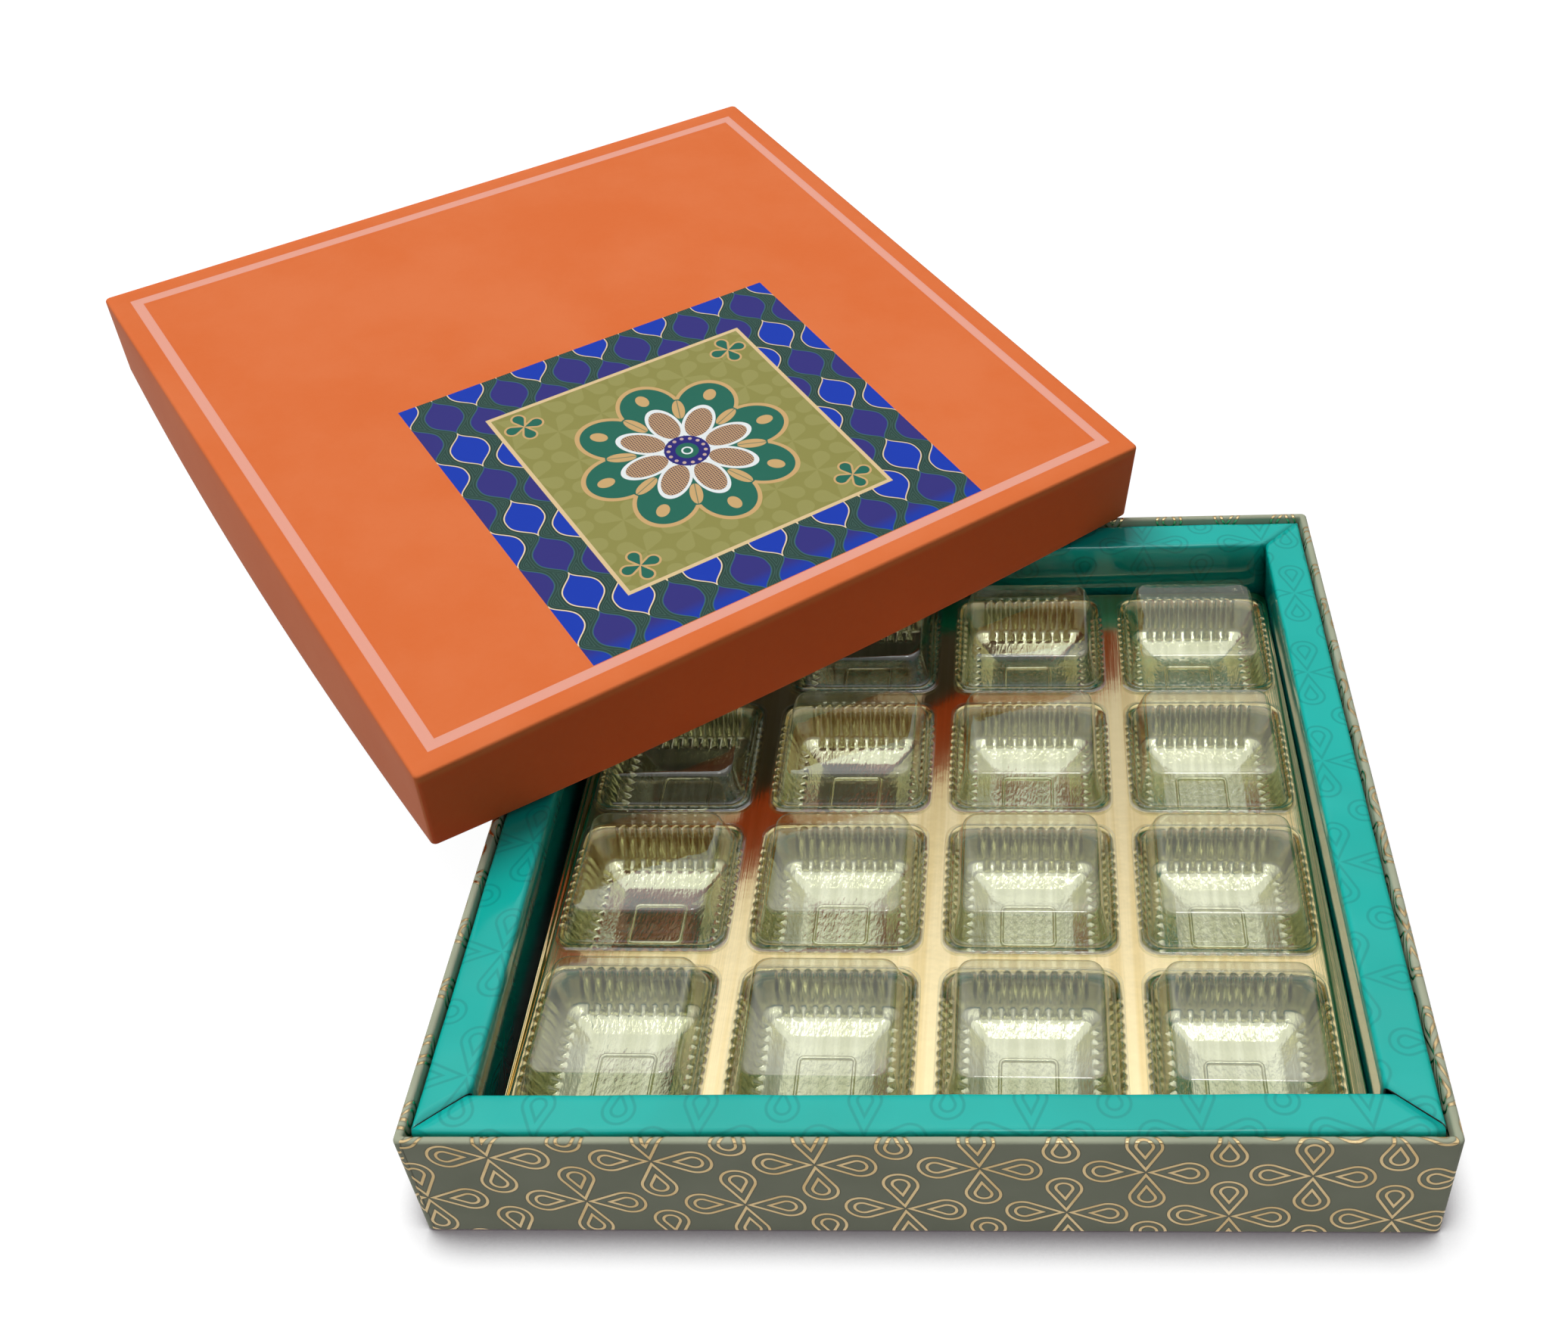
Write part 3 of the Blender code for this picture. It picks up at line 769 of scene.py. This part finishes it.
def lid_matrix():
    """The lid turned upside down about the middle of its top, as its solids are."""
    axes = Matrix.Rotation(LID_YAW, 4, "Z") @ Matrix.Rotation(LID_TILT, 4, "X")
    middle = axes @ Vector((LID_HALF, LID_HALF, LID_HEIGHT))
    corner = Vector(LID_CORNER)
    place = Matrix.Translation((corner + middle) * MM)
    return place @ axes @ Matrix.Rotation(pi, 4, "X")


def lid_wrap(material):
    """The print is the paper laid flat, with the walls folded out round the top."""
    skin = Skin()
    profile = wrap_profile(LID_HALF, LID_HEIGHT, LID_FOLD)
    points = []
    flat = []
    for (half, level), length in zip(profile, path_lengths(profile)):
        bow = LID_BOW * level / LID_HEIGHT
        points.append(level_ring(square_ring(half, wrap_corner(half, LID_HALF), bow), level))
        print_half = LID_HALF + length - FLAT_EDGE
        print_ring = square_ring(print_half, wrap_corner(min(half, print_half), LID_HALF))
        places = [(LID_HALF + x, LID_HALF - y) for x, y in print_ring]
        flat.append(places + places[:1])
    rows = skin.sheet(points, flat, closed=True)
    skin.fan(rows[0], (0.0, 0.0, 0.0), flat[0], (LID_HALF, LID_HALF))
    mesh = skin.mesh("lid_wrap_paper", [material], 50)
    mesh.transform(lid_matrix())
    piece = show("lid_wrap_paper", mesh, "lid", ["lid_wrap"])
    thicken(piece, PAPER)


# Card frame

FOLD = 1.1
STRIP_STEPS = 60
MITRE_SLOPE = 0.87
MOUTHS = (0.45, 1.3)
SLIT = 0.53
WAVE_DROP = 0.16
# Where one printed flower's middle lies on the flat strip, and how much the print is turned
FRONT_PRINT = (-27.1, 41.5, radians(0.9))
RIGHT_PRINT = (-29.1, 36.4, radians(-2.3))
BACK_PRINT = (8.0, 36.0, 0.0)
LEFT_PRINT = (85.3, 35.5, 0.0)


def frame_profile(outer):
    """From the outer wall's foot up, over the shelf and down the leaning wall: inset, height."""
    inner_edge = outer - WINDOW_HALF
    fold_level = SHELF_TOP - FOLD
    quarter = np.linspace(0, pi / 2, 6)
    points = [(0.0, FOOT_LEVEL), (0.0, 12.0), (0.0, 22.0)]
    points += [(FOLD - FOLD * cos(t), fold_level + FOLD * sin(t)) for t in quarter]
    shelf = inner_edge - 2 * FOLD
    points += [(FOLD + shelf * share, SHELF_TOP) for share in (0.12, 0.3, 0.5, 0.7, 0.88)]
    centre = inner_edge - FOLD
    points += [(centre + FOLD * sin(t), fold_level + FOLD * cos(t)) for t in quarter]
    drop = fold_level - FOOT_LEVEL
    for share in (0.15, 0.35, 0.6, 0.8, 1.0):
        points.append((inner_edge - INNER_LEAN * share, fold_level - drop * share))
    return points


def waviness(along, turn):
    """How far the shelf's card lies from its own level at a place along a strip, 0 or less."""
    waves = 0.10 * sin(along * 0.11 + turn) + 0.06 * sin(along * 0.31 + 2 * turn)
    return min(0.0, waves - WAVE_DROP)


def frame_strip(skin, turn, outer, ends, print_place):
    """One folded strip, laid along the front and turned into place; ends gives its left and
    right end for each inset."""
    profile = frame_profile(outer)
    turned_by = spin(turn)
    middle_u, middle_v, print_turn = print_place
    points = []
    flat = []
    for (inset, level), length in zip(profile, path_lengths(profile)):
        left = ends[0](inset)
        right = ends[1](inset)
        row = []
        places = []
        for step in range(STRIP_STEPS + 1):
            along = left + (right - left) * step / STRIP_STEPS
            x, y = turned_by @ (along, -outer + inset)
            on_shelf = level > SHELF_TOP - 2 * FOLD
            row.append((x, y, level + (waviness(along, turn) if on_shelf else -WAVE_DROP)))
            u = along - middle_u
            v = length - middle_v
            places.append((
                u * cos(print_turn) + v * sin(print_turn),
                v * cos(print_turn) - u * sin(print_turn),
            ))
        points.append(row)
        flat.append(places)
    skin.sheet(points, flat)


def platform_frame(material, edge_material):
    """Four strips: the front one and the sides meet in mitres that stand a little open."""
    skin = Skin()
    side_shelf = FRAME_HALF - WINDOW_HALF
    front_shelf = FRAME_FRONT - WINDOW_HALF

    def square_end(side):
        return lambda inset: side * (FRAME_HALF - inset)

    def side_end(side, mouth):
        """A side strip's slanting front end, which stands open by mouth at the window's corner."""
        def end(inset):
            left_over = side_shelf - min(max(inset, 0.0), side_shelf)
            return side * (WINDOW_HALF - mouth + MITRE_SLOPE * left_over)
        return end

    def front_end(side, mouth):
        """The front strip's end, a slit's width short of the side strip's."""
        def end(inset):
            left_over = FRAME_FRONT - min(inset, front_shelf) - WINDOW_HALF
            mitre = WINDOW_HALF + (left_over + mouth) / MITRE_SLOPE - SLIT
            return side * min(FRAME_HALF - 0.5, mitre)
        return end

    left, right = MOUTHS
    front = (front_end(-1, left), front_end(1, right))
    right_side = (side_end(-1, right), square_end(1))
    back = (square_end(-1), square_end(1))
    left_side = (square_end(-1), side_end(1, left))
    frame_strip(skin, 0.0, FRAME_FRONT, front, FRONT_PRINT)
    frame_strip(skin, pi / 2, FRAME_HALF, right_side, RIGHT_PRINT)
    frame_strip(skin, pi, FRAME_HALF, back, BACK_PRINT)
    frame_strip(skin, -pi / 2, FRAME_HALF, left_side, LEFT_PRINT)
    mesh = skin.mesh("platform_frame_card", [material, edge_material], 50)
    piece = show("platform_frame_card", mesh, "base", ["platform_frame"])
    thicken(piece, CARD).material_offset_rim = 1


# Formed tray

def cell_centres():
    first = -1.5 * CELL_PITCH
    for row in range(4):
        for column in range(4):
            yield row + 1, column + 1, (first + column * CELL_PITCH, first + row * CELL_PITCH)


FLUTED_SPAN = FLUTE_PITCH * FLUTES / 2
FLUTE_FADE = 0.8
SLOTS = 9
SLOT_WIDTH = 0.3
SLOT_ROUND = 0.4
SLOT_OUT = 0.8
SLOT_DOWN = 0.25


def cell_ring(half, corner, level, flute=0.0, slot=0.0, per_flute=8, per_corner=8):
    """One ring of a cavity or a cap. Flutes wave it in and out; slots are grooves between them,
    at a cavity's foot."""
    points = []
    straight = half - corner
    span = min(FLUTED_SPAN, straight)
    steps = per_flute * FLUTES
    for quarter in range(4):
        c, s = cos(quarter * pi / 2), sin(quarter * pi / 2)
        side = []
        for step in range(steps + 1):
            along = span * (2 * step / steps - 1)
            fade = min(1.0, (FLUTED_SPAN + 0.01 - abs(along)) / FLUTE_FADE)
            inward = flute * fade * cos(2 * pi * (along / FLUTE_PITCH - 0.5))
            groove = 0.0
            if slot and abs(along) < SLOTS / 2 * FLUTE_PITCH:
                wave = (cos(2 * pi * along / FLUTE_PITCH) + SLOT_WIDTH) / (1 + SLOT_WIDTH)
                groove = slot * max(0.0, wave) ** SLOT_ROUND
            out = half - inward + groove * SLOT_OUT
            side.append((out, along, level - groove * SLOT_DOWN))
        for step in range(1, per_corner):
            angle = pi / 2 * step / per_corner
            x = straight + corner * cos(angle)
            side.append((x, straight + corner * sin(angle), level))
        points += [(x * c - y * s, x * s + y * c, z) for x, y, z in side]
    return points


CELL_DRAFT = tan(radians(21.5))
WALL_CORNER = 4.0
FOOT_DROP = 7.6
# Outset from the opening, corner radius, drop and depth of the flutes
MOUTH_RINGS = (
    (1.00, 4.7, 0.0, 0.0), (0.52, 4.4, 0.02, 0.40), (0.26, 4.2, 0.18, 0.50),
    (0.08, 4.1, 0.45, 0.56), (-0.10, WALL_CORNER, 0.85, 0.58),
)
# Drop and depth of the flutes
WALL_RINGS = ((1.5, 0.56), (3.0, 0.52), (4.5, 0.43), (6.0, 0.27), (7.0, 0.10))
# Inset from the wall's foot, corner radius, drop and depth of the slots
FOOT_RINGS = (
    (-0.06, 3.8, 7.45, 0.0), (0.20, 3.6, 8.10, 0.0), (0.46, 3.4, 8.36, 0.25),
    (0.98, 3.0, 8.78, 0.68), (1.55, 2.5, 9.24, 1.15), (2.05, 2.1, 9.66, 1.60),
    (2.25, 1.9, 9.86, 1.70), (2.42, 1.75, 10.0, 0.0), (3.00, 1.7, 10.36, 0.0),
    (4.00, 1.6, 10.95, 0.0), (5.00, 1.6, 11.50, 0.0), (5.60, 1.5, 11.83, 0.0),
    (6.10, 1.5, DECK_TOP - FLOOR_LEVEL, 0.0),
)


def cell_profile():
    """Half width, corner radius, height, flute and slot depths, from the deck to the floor."""
    rings = []
    for outset, corner, drop, flute in MOUTH_RINGS:
        rings.append((OPENING_HALF + outset, corner, DECK_TOP - drop, flute, 0.0))
    for drop, flute in WALL_RINGS:
        half = OPENING_HALF - drop * CELL_DRAFT
        rings.append((half, WALL_CORNER, DECK_TOP - drop, flute, 0.0))
    foot = OPENING_HALF - FOOT_DROP * CELL_DRAFT
    for inset, corner, drop, slot in FOOT_RINGS:
        rings.append((foot - inset, corner, DECK_TOP - drop, 0.0, slot))
    return rings


PAD_HALF = (6.6, 6.3)
PAD_SHIFT = (-0.5, -1.3)
PAD_CORNER = 1.6
PAD_SECTIONS = ((0.0, 0.0), (0.12, 0.42), (0.45, 0.60), (0.78, 0.42), (0.90, 0.0))


def pad_rings(centre):
    """A raised outline on the floor, as rings from outside to inside with rounded corners."""
    rings = []
    for inset, rise in PAD_SECTIONS:
        corner = max(0.5, PAD_CORNER - inset)
        reach_x, reach_y = (half - inset - corner for half in PAD_HALF)
        ring = []
        for quarter, (sx, sy) in enumerate(((1, -1), (1, 1), (-1, 1), (-1, -1))):
            for x, y in arc(0.0, 0.0, corner, pi / 2 * (quarter - 1), pi / 2 * quarter, 4):
                ring.append((
                    centre[0] + PAD_SHIFT[0] + sx * reach_x + x,
                    centre[1] + PAD_SHIFT[1] + sy * reach_y + y,
                    FLOOR_LEVEL + rise,
                ))
        rings.append(ring)
    return rings


def tray_matrix():
    return Matrix.Translation((TRAY_SHIFT * MM, 0, 0)) @ Matrix.Rotation(TRAY_SKEW, 4, "Z")


DECK_ROUND = 0.4
DECK_CORNER = 4.2
LIP_HALF = 89.1
LIP_RISE = 0.9
LIP_SLOPE = 0.45
# How far left the rise is full and how far right the beads are gone, and where the rise at the
# back starts and is full
LIP_FADE = 70
LIP_BACK = (74, 86)
# The share of the lip's width, and the height of the bead there
LIP_RINGS = ((0.15, 0.0), (0.40, 0.0), (0.50, 0.18), (0.60, 0.0), (0.90, 0.0), (1.0, 0.12))


def border_ring(half, corner):
    return square_ring(half, corner, per_side=24, per_corner=5)


def lip_edge():
    """The lip's edge on the tray: it follows the card frame's window, not the skewed deck."""
    to_tray = tray_matrix().inverted()
    edge = []
    for x, y in border_ring(LIP_HALF, 4.0):
        edge.append((to_tray @ Vector(((TRAY_SHIFT + x) * MM, y * MM, 0)) / MM)[:2])
    return np.array(edge)


def lip_rings(inner):
    """From the border's foot out to the edge; the beads fade on the right, and the lip is raised
    at the left and the back."""
    edge = lip_edge()
    left = np.clip(-edge[:, 0] / LIP_FADE, 0, 1)
    right = np.clip(edge[:, 0] / LIP_FADE, 0, 1)
    back = np.clip((edge[:, 1] - LIP_BACK[0]) / (LIP_BACK[1] - LIP_BACK[0]), 0, 1)
    raised = np.maximum(left, 0.5 * back)
    beaded = 1 - right
    for share, bead in LIP_RINGS:
        rise = LIP_RISE * raised * (1 + LIP_SLOPE * share)
        yield np.column_stack([inner + (edge - inner) * share, LIP_LEVEL + bead * beaded + rise])


def tray(material):
    skin = Skin()
    rims = []
    for _, _, centre in cell_centres():
        rings = []
        for section in cell_profile():
            ring = np.array(cell_ring(*section))
            ring[:, :2] += centre
            rings.append(skin.add(ring))
        skin.join(rings, closed=True)
        skin.crease(rings[0])
        rims.append(rings[0])
        pad = [skin.add(ring) for ring in pad_rings(centre)]
        fill_between(skin, rings[-1], [pad[0]])
        skin.join(pad, closed=True)
        skin.crease(pad[0])
        skin.crease(pad[-1])
        skin.face(pad[-1])
    border = [(DECK_HALF - 0.7, 3.9, DECK_TOP)]
    rounded = arc(DECK_HALF - DECK_ROUND, DECK_TOP - DECK_ROUND, DECK_ROUND, pi / 2, 0, 3)
    border += [(half, DECK_CORNER, level) for half, level in rounded]
    border += [
        (DECK_HALF + 0.05, DECK_CORNER, LIP_LEVEL + 0.25),
        (DECK_HALF + 0.25, DECK_CORNER + 0.2, LIP_LEVEL + 0.02),
    ]
    rings = [skin.add(level_ring(border_ring(half, corner), z)) for half, corner, z in border]
    inner = np.array([skin.points[number][:2] for number in rings[-1]])
    rings += [skin.add(ring) for ring in lip_rings(inner)]
    skin.join(list(reversed(rings)), closed=True)
    skin.crease(rings[0])
    fill_between(skin, rings[0], rims)
    mesh = skin.mesh("tray_sheet", [material], 60)
    piece = show("tray_sheet", mesh, "tray", ["tray"], tray_matrix())
    thicken(piece, SHEET)


# Clear caps

CAP_SEAT = DECK_TOP + 0.3
CAP_TOP = DECK_TOP + 9.1
# Half width, corner radius, height and depth of the ribs
SKIRT_RINGS = (
    (17.2, 3.4, CAP_SEAT - 1.9, 0.25),
    (17.5, 3.6, CAP_SEAT - 0.9, 0.28),
    (17.9, 3.8, CAP_SEAT - 0.1, 0.20),
)
# Half width, corner radius and height
SHELL_RINGS = (
    (20.15, 4.7, CAP_SEAT + 0.05),
    (20.2, 4.7, CAP_SEAT + 0.18),
    (20.0, 4.6, CAP_SEAT + 0.3),
    (18.4, 4.2, CAP_SEAT + 0.3),
    (17.8, 4.0, CAP_SEAT + 0.55),
    (17.55, 3.9, CAP_SEAT + 1.1),
    (16.6, 3.7, CAP_TOP - 4.0),
    (15.75, 3.5, CAP_TOP - 1.2),
    (15.5, 3.4, CAP_TOP - 0.55),
    (15.1, 3.2, CAP_TOP - 0.14),
    (14.5, 2.9, CAP_TOP),
)
SHOULDER = 3


def cap_mesh(material):
    """The flange and the dome as one shell, and the ribbed skirt that hangs from its shoulder."""
    skin = Skin()

    def add_rings(sections):
        return [skin.add(cell_ring(*section, per_flute=4, per_corner=7)) for section in sections]

    shell = add_rings(SHELL_RINGS)
    skin.join(shell, closed=True)
    skin.face(shell[-1])
    skirt = add_rings(SKIRT_RINGS)
    skin.join(skirt + [shell[SHOULDER]], closed=True)
    return skin.mesh("cap_sheet", [material], 50)


def caps(material):
    mesh = cap_mesh(material)
    for row, column, centre in cell_centres():
        place = tray_matrix() @ Matrix.Translation((centre[0] * MM, centre[1] * MM, 0))
        name = f"cap_{row}_{column}"
        show(name + "_sheet", mesh, name, [name], place)


# Floor, light and camera

FLOOR_REACH = 6.0
SHADE_REACH = 0.013


def stage():
    """A white floor with a painted contact shadow close to the object; glossy things see it pale,
    and it throws little light back."""
    g = Graph("white floor")
    path = g.add("ShaderNodeLightPath").outputs
    near = g.add("ShaderNodeAmbientOcclusion", {"Distance": SHADE_REACH}, samples=12)
    # Painted shadow: the floor's glow darkens to purple-brown where the object is near.
    seen = g.mix(g.step(near.outputs["AO"], 0.47, 0.93), (0.080, 0.065, 0.075), (1.0, 1.0, 1.0))
    glow = g.add("ShaderNodeEmission", {"Color": seen, "Strength": 0.96}).outputs[0]
    lit = g.add("ShaderNodeBsdfDiffuse", {"Color": (0.12, 0.12, 0.12)}).outputs[0]
    to_camera = g.add("ShaderNodeAddShader", {0: glow, 1: lit}).outputs[0]
    pale = g.add("ShaderNodeEmission", {"Color": (1.0, 0.98, 0.95), "Strength": 0.78}).outputs[0]
    dull = g.add("ShaderNodeBsdfDiffuse", {"Color": (0.16, 0.16, 0.17)}).outputs[0]
    mirrored = g.choose(path["Is Glossy Ray"], dull, pale)
    g.end(g.choose(path["Is Camera Ray"], mirrored, to_camera))
    reach = FLOOR_REACH
    corners = [(-reach, -reach, 0), (reach, -reach, 0), (reach, reach, 0), (-reach, reach, 0)]
    mesh = bpy.data.meshes.new("floor")
    mesh.from_pydata(corners, [], [(0, 1, 2, 3)])
    mesh.materials.append(g.owner)
    floor = bpy.data.objects.new("floor", mesh)
    floor.location.z = -0.0001
    bpy.context.scene.collection.objects.link(floor)


# How steeply a direction rises, 0 level and 1 straight up, and how bright glossy things see it
SURROUND = (
    (0.0, 0.12), (0.34, 0.15), (0.60, 0.22), (0.70, 0.265),
    (0.81, 0.50), (0.87, 0.54), (0.93, 0.44), (1.0, 0.44),
)


def world():
    """White to the camera, brighter towards the top for glossy things, and dim for the rest."""
    g = Graph("studio", world=True)
    bpy.context.scene.world = g.owner
    path = g.add("ShaderNodeLightPath").outputs

    def background(colour, strength):
        return g.add("ShaderNodeBackground", {"Color": colour, "Strength": strength}).outputs[0]

    height = g.split(g.add("ShaderNodeTexCoord").outputs["Generated"])[2]
    ramp = g.add("ShaderNodeValToRGB", {0: height})
    stops = ramp.color_ramp.elements
    while len(stops) < len(SURROUND):
        stops.new(1.0)
    for stop, (place, level) in zip(stops, SURROUND):
        stop.position = place
        stop.color = (level, level, level, 1.0)
    dim = background((0.97, 0.98, 1.0), 0.22)
    white = background((1.0, 1.0, 1.0), 1.0)
    bright = background(ramp.outputs[0], 2.5)
    seen = g.sum("MAXIMUM", path["Is Camera Ray"], path["Is Transmission Ray"])
    g.end(g.choose(seen, g.choose(path["Is Glossy Ray"], dim, bright), white))


def sun(name, direction, strength, angle, glint=False):
    """A soft lamp for matte things, or a small one that only glossy things show."""
    lamp = bpy.data.lights.new(name, "SUN")
    lamp.energy = strength
    lamp.angle = radians(angle)
    item = bpy.data.objects.new(name, lamp)
    item.rotation_mode = "QUATERNION"
    item.rotation_quaternion = Vector(direction).to_track_quat("Z", "Y")
    item.visible_glossy = glint
    item.visible_diffuse = not glint
    bpy.context.scene.collection.objects.link(item)


# The camera that was fitted to the photo: its place and its own axes
CAMERA_PLACE = (17.594, -287.085, 304.2)
CAMERA_RIGHT = (0.99825525, 0.03314191, -0.04886789)
CAMERA_UP = (0.01596542, 0.64529219, 0.763769)
CAMERA_BACK = (0.05684683, -0.76321661, 0.64363719)


def camera():
    data = bpy.data.cameras.new("camera")
    data.sensor_width = 36.0
    data.lens = 38.62
    data.shift_x = -0.0795
    data.clip_start = 0.01
    data.clip_end = 20.0
    item = bpy.data.objects.new("camera", data)
    turn = Matrix((CAMERA_RIGHT, CAMERA_UP, CAMERA_BACK)).transposed().to_4x4()
    item.matrix_world = Matrix.Translation(Vector(CAMERA_PLACE) * MM) @ turn
    bpy.context.scene.collection.objects.link(item)
    bpy.context.scene.camera = item


def dress(node, material):
    """A carried-over solid keeps its shape and takes this material."""
    item = frame["nodes"][node]
    for slot in item.material_slots:
        slot.material = material


camera()
board = grey_board()
dress("base_board", board)
dress("lid_board", board)
base_wrap(sage_paper(), plain_sage())
platform_frame(teal_card(), card_edge())
tray(gold_sheet())
caps(clear_sheet())
lid_wrap(orange_paper())
stage()
world()
sun("key", (-0.25, 0.30, 1.0), 2.35, 38)
sun("fill", (-1.0, -0.5, 0.7), 0.45, 60)
sun("glint", (0.05, -0.42, 0.90), 0.18, 11, True)
bpy.context.scene.view_settings.view_transform = "Standard"
